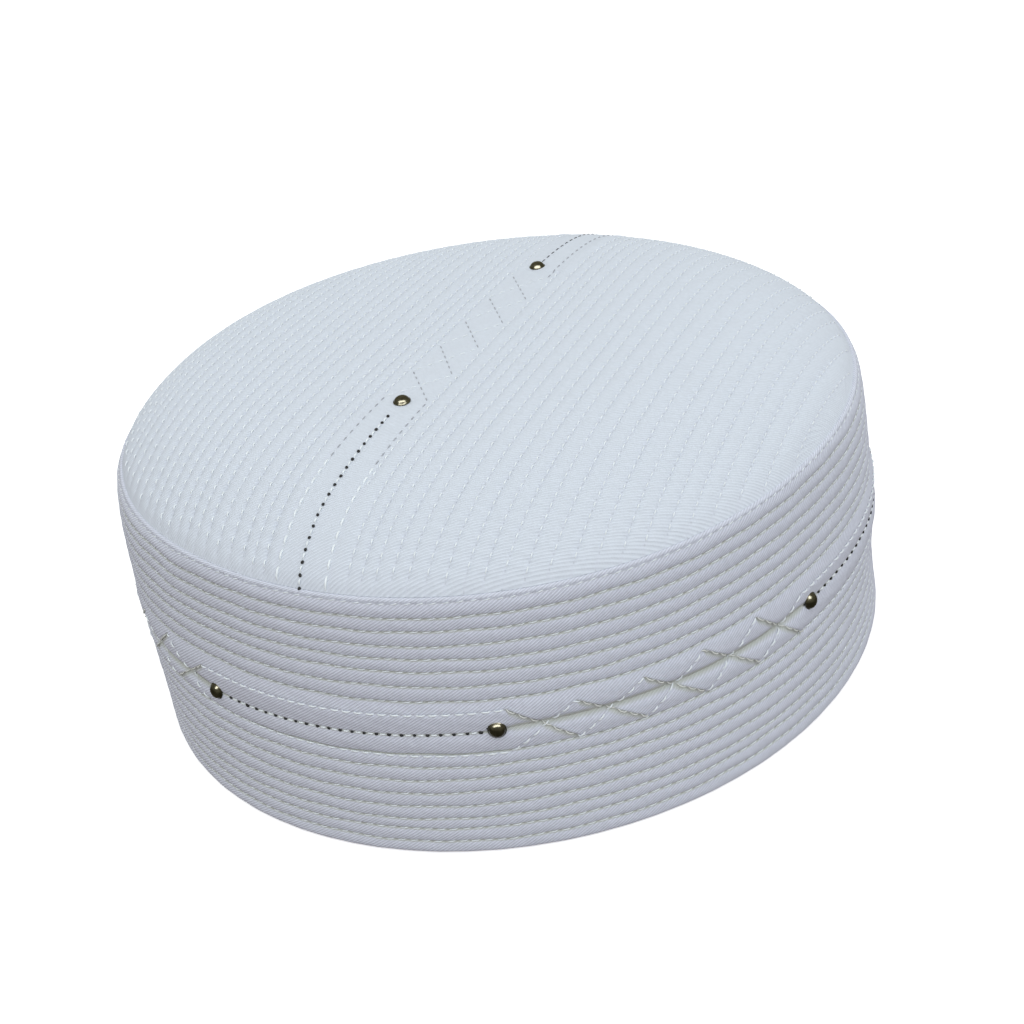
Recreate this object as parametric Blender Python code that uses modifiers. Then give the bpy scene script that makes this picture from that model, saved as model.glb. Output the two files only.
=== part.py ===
"""Kufi: a round brimless cap of quilted white twill, with metal studs.

The cap stands on its hem. The origin is on the ground under its middle, +Z is up,
and the front of the cap faces -Y. Units are metres.
"""
import math

import bmesh
import bpy
from mathutils import Vector

# Driving dimensions of the outline: half widths along X (A) and half lengths along Y (B)
BASE_A = 0.0940
BASE_B = 0.0954
RIM_A = 0.0915
RIM_B = 0.0890
RIM_Z = 0.0646
RIM_SWAY_COS = 0.0005
RIM_SWAY_SIN = 0.0020
DOME_RISE = 0.0174
DOME_POWER = 5.7
DOME_LEAN_X = -0.17
DOME_LEAN_Y = 0.15

# How far the wall swells out beyond the oval at the cap's two ends, at each height
SWELL = (
    {"height": 0.0000, "at_plus_x": 0.0, "at_minus_x": 0.0},
    {"height": 0.0150, "at_plus_x": 0.0, "at_minus_x": 0.00060},
    {"height": 0.0200, "at_plus_x": 0.00045, "at_minus_x": 0.00095},
    {"height": 0.0270, "at_plus_x": 0.00150, "at_minus_x": 0.00140},
    {"height": 0.0320, "at_plus_x": 0.00200, "at_minus_x": 0.00170},
    {"height": 0.0380, "at_plus_x": 0.00175, "at_minus_x": 0.00205},
    {"height": 0.0500, "at_plus_x": 0.00175, "at_minus_x": 0.00220},
    {"height": 0.0570, "at_plus_x": 0.00175, "at_minus_x": 0.00200},
    {"height": 0.0610, "at_plus_x": 0.00140, "at_minus_x": 0.00150},
    {"height": 0.0646, "at_plus_x": 0.00110, "at_minus_x": 0.00050},
)

# Where the two ends lie, in degrees: the middle of the swell, its full half width and its fade
SWELL_ENDS = (
    {"end": "at_plus_x", "middle": 32.0, "half": 18.0, "fade": 30.0},
    {"end": "at_minus_x", "middle": 211.0, "half": 19.0, "fade": 26.0},
)
SWELL_CROWN_POWER = 10

# The cloth: padded wall, sewn ribs and the gap left between neighbouring pieces
WALL = 0.0026
RIB_DEPTH = 0.0004
CROWN_WALL = 0.0020
CROWN_RIB_DEPTH = 0.0003
GAP = 0.0003

# Height of the lowest seam and the highest seam of each group of ribs, and how many ribs
RIB_GROUPS = (
    {"name": "lower ribs", "low": 0.0006, "high": 0.0269, "ribs": 8},
    {"name": "motif band", "low": 0.0269, "high": 0.0371, "ribs": 2},
    {"name": "upper ribs", "low": 0.0371, "high": 0.0639, "ribs": 8},
)

# The folded upper edge of the side band, and the hem
FOLD = (
    {"inset": 0.0002, "height": 0.0647},
    {"inset": 0.0007, "height": 0.0654},
)
INNER_LEVELS = (0.75, 0.4, 0.05)
HEM_OUTER_INSET = 0.0009
HEM_INNER_INSET = 0.0022
HEM_ROUND = 0.0003

# The crown's edge lies inside the fold, and its strip of motif a little right of the middle
CROWN_EDGE_INSET = 0.00135
CROWN_RIB_PITCH = 0.0034
STRIP_X = 0.0014
STRIP_HALF = 0.0061

# Rows of the crown, as shares of each column's half length, and where its last column lies
CROWN_ROWS = (0.0, 0.40, 0.66, 0.82, 0.92, 1.0)
CROWN_LAST_COLUMN = 0.9985

# Runs of the motif round the side band, from one stud to the next, anticlockwise seen from above,
# and the height of the stud that each run starts from
MOTIF_Z = 0.0320
MOTIF_START = -0.0297
MOTIF = (
    {"run": "dots, front", "length": 0.0716, "height": 0.0308},
    {"run": "zigzag, right front", "length": 0.0798, "height": 0.0320},
    {"run": "dots, right", "length": 0.0669, "height": 0.0320},
    {"run": "zigzag, right back", "length": 0.0748, "height": 0.0320},
    {"run": "dots, back", "length": 0.0669, "height": 0.0320},
    {"run": "zigzag, left back", "length": 0.0748, "height": 0.0320},
    {"run": "dots, left", "length": 0.0669, "height": 0.0320},
    {"run": "zigzag, left front", "length": 0.0798, "height": 0.0320},
)

# Studs: a domed head on a thin collar
STUD_PROFILE = (
    {"radius": 0.0, "height": 0.00135},
    {"radius": 0.00090, "height": 0.00125},
    {"radius": 0.00155, "height": 0.00088},
    {"radius": 0.00178, "height": 0.00046},
    {"radius": 0.00205, "height": 0.00036},
    {"radius": 0.00205, "height": 0.0},
    {"radius": 0.0, "height": 0.0},
)
TOP_STUDS = (
    {"name": "stud_top_front", "y": -0.0358},
    {"name": "stud_top_back", "y": 0.0374},
)
STUD_SEAT = 0.0002

# How finely round shapes are divided, and the short steps that slopes are taken over
BAND_SIDES = 64
STUD_SIDES = 12
ARC_SAMPLES = 1440
MERGE = 0.00001
SLOPE_STEP = 0.0001


def rim_height(angle):
    """Height of the rim, which sways gently up and down round the cap."""
    return RIM_Z + RIM_SWAY_COS * math.cos(2 * angle) + RIM_SWAY_SIN * math.sin(2 * angle)


def swell_at(end, height):
    """The swell of one end at one height, straight between the rows of its table."""
    for low, high in zip(SWELL, SWELL[1:]):
        if height <= high["height"]:
            share = (height - low["height"]) / (high["height"] - low["height"])
            return low[end] + (high[end] - low[end]) * share
    return SWELL[-1][end]


def swell(angle, height):
    """How far the wall stands out beyond the oval at this angle and height."""
    out = 0.0
    for row in SWELL_ENDS:
        away = abs((math.degrees(angle) - row["middle"] + 180) % 360 - 180)
        share = min(max(1 - (away - row["half"]) / row["fade"], 0.0), 1.0)
        out += share * share * (3 - 2 * share) * swell_at(row["end"], height)
    return out


def oval_point(angle, inset, height):
    """A point of the plain oval: it narrows upwards and is drawn in by inset."""
    level = height / RIM_Z
    half_x = BASE_A + (RIM_A - BASE_A) * level - inset
    half_y = BASE_B + (RIM_B - BASE_B) * level - inset
    z = level * rim_height(angle)
    return Vector((half_x * math.cos(angle), half_y * math.sin(angle), z))


def band_point(angle, inset, height):
    """A point of the side band: the oval with its two swollen ends."""
    return oval_point(angle, inset - swell(angle, height), height)


def crown_point(x, y, sink=0.0):
    """A point of the crown: a dome, flat in the middle, that rolls down to the swollen rim."""
    u = x / RIM_A
    v = y / RIM_B
    sway = RIM_SWAY_COS * (u * u - v * v) + RIM_SWAY_SIN * 2 * u * v
    lean = 1 + DOME_LEAN_X * u + DOME_LEAN_Y * v
    radius = min(math.hypot(u, v), 1.0)
    dome = DOME_RISE * lean * (1 - radius ** DOME_POWER)
    angle = math.atan2(v, u)
    out = swell(angle, RIM_Z) * radius ** SWELL_CROWN_POWER
    return Vector((x + out * math.cos(angle), y + out * math.sin(angle), RIM_Z + sway + dome - sink))


def crown_normal(x, y):
    """The dome's outward normal."""
    along_x = crown_point(x + SLOPE_STEP, y) - crown_point(x - SLOPE_STEP, y)
    along_y = crown_point(x, y + SLOPE_STEP) - crown_point(x, y - SLOPE_STEP)
    return along_x.cross(along_y).normalized()


def make_material(name, colour, roughness, metallic=0.0):
    material = bpy.data.materials.new(name)
    material.use_nodes = True
    shader = material.node_tree.nodes["Principled BSDF"]
    shader.inputs["Base Color"].default_value = (*colour, 1.0)
    shader.inputs["Roughness"].default_value = roughness
    shader.inputs["Metallic"].default_value = metallic
    return material


def add_object(name, mesh, collection, parent, material):
    mesh.materials.append(material)
    obj = bpy.data.objects.new(name, mesh)
    obj.parent = parent
    collection.objects.link(obj)


def profile_mesh(name, points):
    """An open line of edges in the XZ plane through (radius, height) points."""
    mesh = bpy.data.meshes.new(name)
    edges = [(i, i + 1) for i in range(len(points) - 1)]
    mesh.from_pydata([(r, 0.0, z) for r, z in points], edges, [])
    return mesh


def turn(obj, sides):
    """Turn the object's profile about Z."""
    screw = obj.modifiers.new("Turn", "SCREW")
    screw.steps = sides
    screw.render_steps = sides
    screw.use_merge_vertices = True
    screw.merge_threshold = MERGE
    screw.use_smooth_shade = True


def band_section():
    """The wall's section as (inset, height), up the outside from the hem to the upper fold."""
    section = [(HEM_OUTER_INSET, 0.0), (HEM_ROUND, RIB_GROUPS[0]["low"])]
    for group in RIB_GROUPS:
        pitch = (group["high"] - group["low"]) / group["ribs"]
        for rib in range(group["ribs"]):
            seam = group["low"] + pitch * rib
            section.append((0.0, seam + pitch / 2))
            section.append((RIB_DEPTH, seam + pitch))
    return section + [(step["inset"], step["height"]) for step in FOLD]


def band_lip(angle):
    """The top of the wall, cut parallel to the crown's edge and one gap away from it."""
    x = (RIM_A - CROWN_EDGE_INSET) * math.cos(angle)
    y = (RIM_B - CROWN_EDGE_INSET) * math.sin(angle)
    normal = crown_normal(x, y)
    outwards = Vector((normal.x, normal.y, 0.0)).normalized()
    downhill = Vector((0.0, 0.0, 1.0)).cross(outwards).cross(normal)
    upper = crown_point(x, y) + downhill * GAP
    reach = (WALL - CROWN_EDGE_INSET + GAP * normal.z) / normal.dot(outwards)
    return [upper, upper - normal * reach]


def make_side_band(collection, parent, material):
    """One closed section of the wall at every side of the oval, joined into a ring."""
    outside = band_section()
    inside = [(WALL, RIM_Z * level) for level in INNER_LEVELS] + [(HEM_INNER_INSET, 0.0)]
    vertices = []
    for side in range(BAND_SIDES):
        angle = 2 * math.pi * side / BAND_SIDES
        vertices += [band_point(angle, inset, height) for inset, height in outside]
        vertices += band_lip(angle)
        vertices += [band_point(angle, inset, height) for inset, height in inside]
    count = len(vertices) // BAND_SIDES
    faces = []
    for side in range(BAND_SIDES):
        here = side * count
        there = (side + 1) % BAND_SIDES * count
        for i in range(count):
            j = (i + 1) % count
            faces.append((here + i, there + i, there + j, here + j))
    mesh = bpy.data.meshes.new("side_band")
    mesh.from_pydata(vertices, [], faces)
    mesh.shade_smooth()
    add_object("side_band", mesh, collection, parent, material)


def crown_columns():
    """X and relief of each column of the crown: seams sink in, the channels between stand up."""
    last = (RIM_A - CROWN_EDGE_INSET) * CROWN_LAST_COLUMN
    columns = [(STRIP_X, CROWN_RIB_DEPTH)]
    for side in (-1, 1):
        columns.append((STRIP_X + side * STRIP_HALF / 2, 0.0))
        seam = STRIP_X + side * STRIP_HALF
        while abs(seam) < last:
            columns.append((seam, CROWN_RIB_DEPTH))
            ridge = seam + side * CROWN_RIB_PITCH / 2
            if abs(ridge) < last:
                columns.append((ridge, 0.0))
            seam += side * CROWN_RIB_PITCH
        columns.append((side * last, 0.0))
    return sorted(columns)


def make_crown(collection, parent, material):
    """A flat grid of two layers, bent so that its columns follow the sewn channels of the dome."""
    half_x = RIM_A - CROWN_EDGE_INSET
    half_y = RIM_B - CROWN_EDGE_INSET
    columns = crown_columns()
    rows = [-row for row in reversed(CROWN_ROWS[1:])] + list(CROWN_ROWS)
    sheet = bmesh.new()
    bmesh.ops.create_grid(sheet, x_segments=len(columns) - 1, y_segments=len(rows) - 1, size=1)
    under = bmesh.ops.extrude_face_region(sheet, geom=sheet.faces[:], use_keep_orig=True)["geom"]
    inner = {item for item in under if isinstance(item, bmesh.types.BMVert)}
    for vertex in sheet.verts:
        column = round((vertex.co.x + 1) / 2 * (len(columns) - 1))
        row = round((vertex.co.y + 1) / 2 * (len(rows) - 1))
        x, relief = columns[column]
        y = rows[row] * half_y * math.sqrt(1 - (x / half_x) ** 2)
        if vertex in inner:
            vertex.co = crown_point(x, y) - crown_normal(x, y) * CROWN_WALL
        else:
            vertex.co = crown_point(x, y, 0.0 if abs(rows[row]) == 1.0 else relief)
    bmesh.ops.recalc_face_normals(sheet, faces=sheet.faces)
    mesh = bpy.data.meshes.new("crown_top")
    sheet.to_mesh(mesh)
    sheet.free()
    mesh.shade_smooth()
    add_object("crown_top", mesh, collection, parent, material)


def oval_arc(height):
    """Angles round the band and the distance along it from the front, at one height."""
    angles = [-math.pi / 2 + 2 * math.pi * i / ARC_SAMPLES for i in range(ARC_SAMPLES + 1)]
    points = [oval_point(angle, 0.0, height) for angle in angles]
    distance = [0.0]
    for before, after in zip(points, points[1:]):
        distance.append(distance[-1] + (after - before).length)
    return angles, distance


def angle_at(arc, along):
    """Angle of the place that lies this far round the band from the front."""
    angles, distance = arc
    along %= distance[-1]
    index = next(i for i, total in enumerate(distance) if total >= along)
    return angles[index]


def stud_mesh(material):
    mesh = profile_mesh("stud", [(step["radius"], step["height"]) for step in STUD_PROFILE])
    mesh.materials.append(material)
    return mesh


def place_stud(name, mesh, collection, parent, point, normal):
    stud = bpy.data.objects.new(name, mesh)
    stud.parent = parent
    stud.location = point + normal * STUD_SEAT
    stud.rotation_euler = normal.to_track_quat("Z", "Y").to_euler()
    collection.objects.link(stud)
    turn(stud, STUD_SIDES)


def make_top_studs(mesh, collection, parent):
    for place in TOP_STUDS:
        point = crown_point(STRIP_X, place["y"])
        normal = crown_normal(STRIP_X, place["y"])
        place_stud(place["name"], mesh, collection, parent, point, normal)


def make_side_studs(mesh, collection, parent):
    """One stud where each run of the motif starts."""
    arc = oval_arc(MOTIF_Z)
    along = MOTIF_START
    for number, run in enumerate(MOTIF, start=1):
        angle = angle_at(arc, along)
        point = band_point(angle, 0.0, run["height"])
        around = band_point(angle + SLOPE_STEP, 0.0, run["height"]) - point
        upwards = band_point(angle, 0.0, run["height"] + SLOPE_STEP) - point
        normal = around.cross(upwards).normalized()
        place_stud(f"stud_side_{number}", mesh, collection, parent, point, normal)
        along += run["length"]


def build():
    for obj in list(bpy.data.objects):
        bpy.data.objects.remove(obj)
    collection = bpy.data.collections.new("kufi")
    bpy.context.scene.collection.children.link(collection)
    origin = bpy.data.objects.new("kufi_origin", None)
    collection.objects.link(origin)
    twill = make_material("white_twill", (0.60, 0.66, 0.71), 0.92)
    metal = make_material("gunmetal", (0.10, 0.095, 0.075), 0.32, metallic=1.0)
    make_side_band(collection, origin, twill)
    make_crown(collection, origin, twill)
    studs = stud_mesh(metal)
    make_top_studs(studs, collection, origin)
    make_side_studs(studs, collection, origin)


build()
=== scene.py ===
# %% [markdown]
# # A white quilted kufi
# The cap is an upright oval band with a domed top. Both are white cotton twill over a thin padding,
# sewn down in close rows, so the cloth stands up in small ribs between the seams. This script
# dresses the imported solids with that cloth, every stitch of it, and the dark metal studs.

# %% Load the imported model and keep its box
import math

import bmesh
import bpy
import numpy as np
from mathutils import Matrix, Vector


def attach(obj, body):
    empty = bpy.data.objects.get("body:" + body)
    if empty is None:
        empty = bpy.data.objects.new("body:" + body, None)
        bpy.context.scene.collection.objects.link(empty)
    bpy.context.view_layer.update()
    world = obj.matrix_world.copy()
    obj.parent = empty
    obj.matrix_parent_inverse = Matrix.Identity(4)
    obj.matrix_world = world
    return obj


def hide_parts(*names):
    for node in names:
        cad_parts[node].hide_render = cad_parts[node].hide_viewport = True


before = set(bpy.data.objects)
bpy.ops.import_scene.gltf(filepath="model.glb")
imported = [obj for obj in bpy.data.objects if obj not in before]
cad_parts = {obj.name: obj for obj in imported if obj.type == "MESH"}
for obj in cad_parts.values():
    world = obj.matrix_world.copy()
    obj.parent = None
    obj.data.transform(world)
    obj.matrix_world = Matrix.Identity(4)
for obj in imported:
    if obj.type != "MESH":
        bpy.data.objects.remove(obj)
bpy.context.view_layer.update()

# %% [markdown]
# ## The sizes that everything follows
# All lengths are metres. A place on the band is given by how far round it lies from the front,
# anticlockwise seen from above, and by its height. A place on the top is given by its x and y.

# %% Driving sizes
BASE_A, BASE_B = 0.0940, 0.0954
RIM_A, RIM_B, RIM_Z = 0.0915, 0.0890, 0.0646
RIM_SWAY_COS, RIM_SWAY_SIN = 0.0005, 0.0020
DOME_RISE, DOME_POWER = 0.0174, 5.7
DOME_LEAN_X, DOME_LEAN_Y = -0.17, 0.15
MOTIF_Z = 0.0320
BAND_WALL, CROWN_WALL = 0.0026, 0.0020
STITCH = 0.0028
SLOPE_STEP = 0.0003
rng = np.random.default_rng(7)


def table(columns, *rows):
    """Rows of values, each under the names of the columns."""
    return [dict(zip(columns.split(), row)) for row in rows]


def column(rows, name):
    """One column of a table."""
    return np.array([row[name] for row in rows])


def stacked(*parts):
    """Arrays of numbers joined into pairs or points."""
    return np.stack(np.broadcast_arrays(*parts), axis=-1)


def between(low, high, share):
    """The value this share of the way from low to high."""
    return low + (high - low) * share


def bell(distance, width):
    """One at no distance, falling off like a bell curve of this width."""
    return np.exp(-((distance / width) ** 2))


def within(place, first, last, ease):
    """One between two ends and nothing beyond them, with a short slope inside each end."""
    return np.clip((place - first) / ease, 0, 1) * np.clip((last - place) / ease, 0, 1)


# How far the wall swells out beyond the oval at the cap's two ends, at each height
SWELL = table(
    "height at_plus_x at_minus_x",
    (0.0000, 0.0, 0.0),
    (0.0150, 0.0, 0.00060),
    (0.0200, 0.00045, 0.00095),
    (0.0270, 0.00150, 0.00140),
    (0.0320, 0.00200, 0.00170),
    (0.0380, 0.00175, 0.00205),
    (0.0500, 0.00175, 0.00220),
    (0.0570, 0.00175, 0.00200),
    (0.0610, 0.00140, 0.00150),
    (0.0646, 0.00110, 0.00050),
)
SWELL_ENDS = table(
    "end middle half fade",
    ("at_plus_x", 32.0, 18.0, 30.0),
    ("at_minus_x", 211.0, 19.0, 26.0),
)
SWELL_SOFTEN = np.array([-0.0016, -0.0008, 0.0, 0.0008, 0.0016])
SWELL_CROWN_POWER = 10
print("half widths at the base", BASE_A, BASE_B, "at the rim", RIM_A, RIM_B, "stitch", STITCH)

# %% [markdown]
# ## The bare band and the bare dome
# The wall is an oval that narrows a little upwards, and its upper edge sways by two millimetres.
# Worn cloth is never quite true: the two ends of the oval swell out by about two millimetres.
# The dome is flat in the middle and rolls down to the same edge.

# %% Surfaces without any relief
OVAL_ANGLES = np.linspace(-math.pi / 2, 1.5 * math.pi, 4321)


def rim_height(angle):
    """Rim height: the mean height plus a gentle sway of two waves round the cap."""
    return RIM_Z + RIM_SWAY_COS * np.cos(2 * angle) + RIM_SWAY_SIN * np.sin(2 * angle)


def oval_lengths(height):
    """Length along the oval at one height, added up from the front through the angles."""
    level = height / RIM_Z
    x = between(BASE_A, RIM_A, level) * np.cos(OVAL_ANGLES)
    y = between(BASE_B, RIM_B, level) * np.sin(OVAL_ANGLES)
    return np.concatenate([[0.0], np.cumsum(np.hypot(np.diff(x), np.diff(y)))])


LENGTHS = oval_lengths(MOTIF_Z)
ROUND = LENGTHS[-1]


def swell(angle, height):
    """Each end's table read at the height, faded by a smooth step of the angle from its middle."""
    out = 0.0
    near = np.asarray(height)[..., None] + SWELL_SOFTEN
    for row in SWELL_ENDS:
        away = np.abs(np.mod(np.degrees(angle) - row["middle"] + 180, 360) - 180)
        share = np.clip(1 - (away - row["half"]) / row["fade"], 0, 1)
        read = np.interp(near, column(SWELL, "height"), column(SWELL, row["end"]))
        out = out + share**2 * (3 - 2 * share) * read.mean(-1)
    return out


def wall(along, height):
    """Half axes between base and rim by height, plus the swell, at the angle this far round."""
    angle = np.interp(np.mod(along, ROUND), LENGTHS, OVAL_ANGLES)
    level = height / RIM_Z
    out = swell(angle, height)
    x = (between(BASE_A, RIM_A, level) + out) * np.cos(angle)
    y = (between(BASE_B, RIM_B, level) + out) * np.sin(angle)
    return stacked(x, y, level * rim_height(angle))


def lean(x, y):
    """The dome rises a little more towards one side: one plus a small slope in x and in y."""
    return 1 + DOME_LEAN_X * x / RIM_A + DOME_LEAN_Y * y / RIM_B


def dome(x, y):
    """Rim height plus a rise of one minus the radius to a high power, out over the swollen ends."""
    u, v = x / RIM_A, y / RIM_B
    radius = np.minimum(np.hypot(u, v), 1.0)
    angle = np.arctan2(v, u)
    out = swell(angle, np.full(np.shape(angle), RIM_Z)) * radius**SWELL_CROWN_POWER
    sway = RIM_SWAY_COS * (u * u - v * v) + RIM_SWAY_SIN * 2 * u * v
    z = RIM_Z + sway + DOME_RISE * lean(x, y) * (1 - radius ** DOME_POWER)
    return stacked(x + out * np.cos(angle), y + out * np.sin(angle), z)


def unit(vectors):
    """Vectors divided by their own length."""
    return vectors / np.linalg.norm(vectors, axis=-1, keepdims=True)


def normals(surface, a, b):
    """Cross product of the slopes along the surface's two parameters."""
    along_a = surface(a + SLOPE_STEP, b) - surface(a - SLOPE_STEP, b)
    along_b = surface(a, b + SLOPE_STEP) - surface(a, b - SLOPE_STEP)
    return unit(np.cross(along_a, along_b))


print("round the band", round(ROUND, 4), "height", round(float(dome(0.0, 0.0)[2]), 4))

# %% [markdown]
# ## The seams of the band
# Seventeen seams run round the band above the hem's edge. They were sewn by eye, so each wanders:
# the table gives its height at four places, in millimetres, with the depth of its valley and of
# the groove that the thread cuts. The widest space, in the middle, holds the motif.

# %% Seam table
MM = 0.001
SEAMS = table(
    "name left front right far depth groove",
    ("hem edge", 0.00, 0.00, 0.00, 0.00, 0.25, 0.09),
    ("lower 1", 3.00, 3.15, 3.35, 3.70, 0.25, 0.09),
    ("lower 2", 6.20, 6.40, 6.80, 6.95, 0.25, 0.09),
    ("lower 3", 9.10, 9.15, 9.70, 9.65, 0.25, 0.09),
    ("lower 4", 12.50, 12.40, 13.10, 13.00, 0.25, 0.09),
    ("lower 5", 16.30, 15.85, 16.65, 16.60, 0.25, 0.09),
    ("lower 6", 20.05, 19.30, 20.00, 19.95, 0.25, 0.09),
    ("lower 7", 23.45, 22.70, 23.05, 23.25, 0.25, 0.09),
    ("under motif", 26.50, 26.15, 26.35, 26.10, 0.25, 0.09),
    ("motif middle", 32.00, 31.20, 32.30, 32.10, 0.16, 0.10),
    ("over motif", 40.00, 39.70, 38.95, 39.80, 0.30, 0.11),
    ("upper 1", 43.80, 43.40, 42.45, 42.65, 0.25, 0.09),
    ("upper 2", 47.65, 47.15, 45.95, 46.50, 0.25, 0.09),
    ("upper 3", 50.95, 50.15, 49.15, 49.90, 0.25, 0.09),
    ("upper 4", 54.85, 53.25, 52.80, 53.45, 0.25, 0.09),
    ("upper 5", 58.10, 56.70, 56.45, 57.00, 0.25, 0.09),
    ("upper 6", 61.10, 59.95, 59.80, 60.35, 0.25, 0.09),
    ("under rim", 63.50, 63.30, 63.20, 63.50, 0.02, 0.00),
)
SEAM_KNOTS = table(
    "column along",
    ("front", 0.010),
    ("right", 0.072),
    ("far", 0.113),
    ("right", 0.250),
    ("front", 0.400),
    ("left", 0.530),
    ("front", 0.545),
)
UNDER_MOTIF, MIDDLE, OVER_MOTIF, UNDER_RIM = 8, 9, 10, 17
SEAM_WANDER, SEAM_WAVES = 0.00007, (7, 19, 41)
WAVES = rng.uniform(0, 2 * math.pi, (len(SEAMS), 3))
ROUND_STITCHES = round(ROUND / STITCH)

# The line of dots has heights of its own, from a little before the front all the way round
LINE_START = 0.1
MIDDLE_LINE = table(
    "along height",
    (-0.0700, 0.0318),
    (-0.0391, 0.0311),
    (-0.0249, 0.0305),
    (0.0000, 0.0309),
    (0.0384, 0.0315),
    (0.0517, 0.0321),
    (0.0800, 0.0324),
    (0.1217, 0.0321),
    (0.3000, 0.0320),
)


def seam_height(index, along):
    """Heights at the knots, eased from knot to knot by half a cosine, plus three small waves."""
    turn = 2 * math.pi * along / ROUND
    if index == MIDDLE:
        knots, heights = column(MIDDLE_LINE, "along"), column(MIDDLE_LINE, "height")
        return np.interp((along + LINE_START) % ROUND - LINE_START, knots, heights)
    if index == 0:
        return np.zeros(np.shape(along))
    knots = column(SEAM_KNOTS, "along")
    heights = MM * np.array([SEAMS[index][row["column"]] for row in SEAM_KNOTS])
    places = np.concatenate([knots - ROUND, knots, knots + ROUND])
    step = np.interp(along, places, np.arange(len(places)))
    before = np.floor(step).astype(int)
    ease = 0.5 - 0.5 * np.cos(math.pi * (step - before))
    height = heights[before % len(knots)] * (1 - ease) + heights[(before + 1) % len(knots)] * ease
    wander = sum(np.sin(turn * n + WAVES[index, i]) for i, n in enumerate(SEAM_WAVES))
    return height + SEAM_WANDER * wander


def stitch_phase(index, along):
    """Stitches counted along one seam, with an offset of its own."""
    return along / ROUND * ROUND_STITCHES + WAVES[index, 0]


print("stitches round the band", ROUND_STITCHES)

# %% [markdown]
# ## The motif's lines
# Between one stud and the next the motif is either a line of dark dots with a stitched line
# above and below it, or the two stitched lines cross and cross again as a zigzag.
# So two lines of stitching run all round, and they swap places in every zigzag.

# %% Motif table and its two stitched lines
MOTIF_START = -0.0297
MOTIF = table(
    "run length height first",
    ("dots", 0.0716, 0.0306, 0.0048),
    ("zigzag", 0.0798, 0.0320, 0.0),
    ("dots", 0.0669, 0.0320, 0.0037),
    ("zigzag", 0.0748, 0.0320, 0.0),
    ("dots", 0.0669, 0.0320, 0.0040),
    ("zigzag", 0.0748, 0.0320, 0.0),
    ("dots", 0.0669, 0.0320, 0.0040),
    ("zigzag", 0.0798, 0.0320, 0.0),
)
ZIGZAG_CORNERS = table(
    "share upper lower",
    (0.000, 0.0367, 0.0257),
    (0.201, 0.0361, 0.0268),
    (0.406, 0.0368, 0.0268),
    (0.604, 0.0375, 0.0268),
    (0.805, 0.0382, 0.0268),
    (1.000, 0.0359, 0.0260),
)
FIRST_MARGIN, LAST_MARGIN = 0.0023, 0.0041
ZIGZAG_EASE = 0.004


def motif_lines():
    """Corners of the two lines: they change places at every corner of a zigzag."""
    first, second, starts = [], [], []
    along, swapped = MOTIF_START, False
    for part in MOTIF:
        starts.append(along)
        if part["run"] == "zigzag":
            room = part["length"] - FIRST_MARGIN - LAST_MARGIN
            for number, corner in enumerate(ZIGZAG_CORNERS):
                place = along + FIRST_MARGIN + corner["share"] * room
                pair = (corner["upper"], corner["lower"])
                if swapped:
                    pair = pair[::-1]
                first.append((place, pair[0]))
                second.append((place, pair[1]))
                if number < len(ZIGZAG_CORNERS) - 1:
                    swapped = not swapped
        along += part["length"]
    return np.array(first), np.array(second), starts


LINE_A, LINE_B, RUN_STARTS = motif_lines()


def line_height(line, along):
    """Height of a stitched line: straight between its corners, joined round the back."""
    knots = np.concatenate([line[:, 0] - ROUND, line[:, 0], line[:, 0] + ROUND])
    return np.interp(along, knots, np.tile(line[:, 1], 3))


def side_sign(along):
    """Plus one on the cap's left half, minus one on its right half."""
    return np.where(np.mod(along, ROUND) < ROUND / 2, 1.0, -1.0)


def in_zigzag(along):
    """One inside the zigzag runs, nothing in the dotted runs, with short slopes between."""
    inside = np.zeros_like(along)
    for part, start in zip(MOTIF, RUN_STARTS):
        if part["run"] == "zigzag":
            near = np.mod(along - start + ROUND / 2, ROUND) - ROUND / 2
            inside = np.maximum(inside, within(near, 0.0, part["length"], ZIGZAG_EASE))
    return inside


print("runs start at", [round(start, 4) for start in RUN_STARTS])

# %% [markdown]
# ## The band's relief
# The seams lie a quarter of a millimetre deep. Between two of them the padded cloth stands up as a
# low arch, whose height is four f times one minus f, with f the share of the way from seam to
# seam. Every seam also cuts a narrow groove, and each needle hole pulls the cloth in a little.
# The topmost rib leans inwards, where the cloth starts to roll over the edge. Below a slanting
# line of the motif the cloth steps in like a pleat and comes out again in a millimetre or two.

# %% Relief of the band
BULGE, BULGE_MOST = 0.094, 0.00066
GROOVE_WIDTH = 0.00026
PULL, PULL_WIDTH = 0.00011, 0.00070
CREASE_WIDTH, CREASE_DEPTH = 0.00105, 0.00046
LINE_PRESS, LINE_WIDTH = 0.00020, 0.00036
FALLING_PRESS = 1.4
PLEAT_STEP, PLEAT_FADE, PLEAT_EDGE = 0.00042, 0.0017, 0.00014
RISING_PLEAT = 0.35
# Painted shade: the first of the next two gives rising motif lines less seam shade, the second
# spreads it wider below falling lines and along a zigzag's middle crease.
RISING_SHADE_SHIFT = 0.00038
SHADE_SPREAD = 0.6
RIM_ROLL = 0.00040
# Painted shade: held back beside the seam under the rim.
RIM_SHADE_SHIFT = 0.00036
RIM_PULL = 0.35
SLOPE_SPAN = 0.0005
FALLING_SLOPE, STEEP_SLOPE = 0.6, 0.3
LUMP = 0.00004
LUMPS_ROUND, LUMPS_UP = (61, 23), (900, 1400)


def pull_in(phase, distance, width):
    """Cosine of the stitch count, strongest at needle holes, fading away from the seam."""
    return (0.5 + 0.5 * np.cos(2 * math.pi * phase)) * np.exp(-distance / width)


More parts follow.
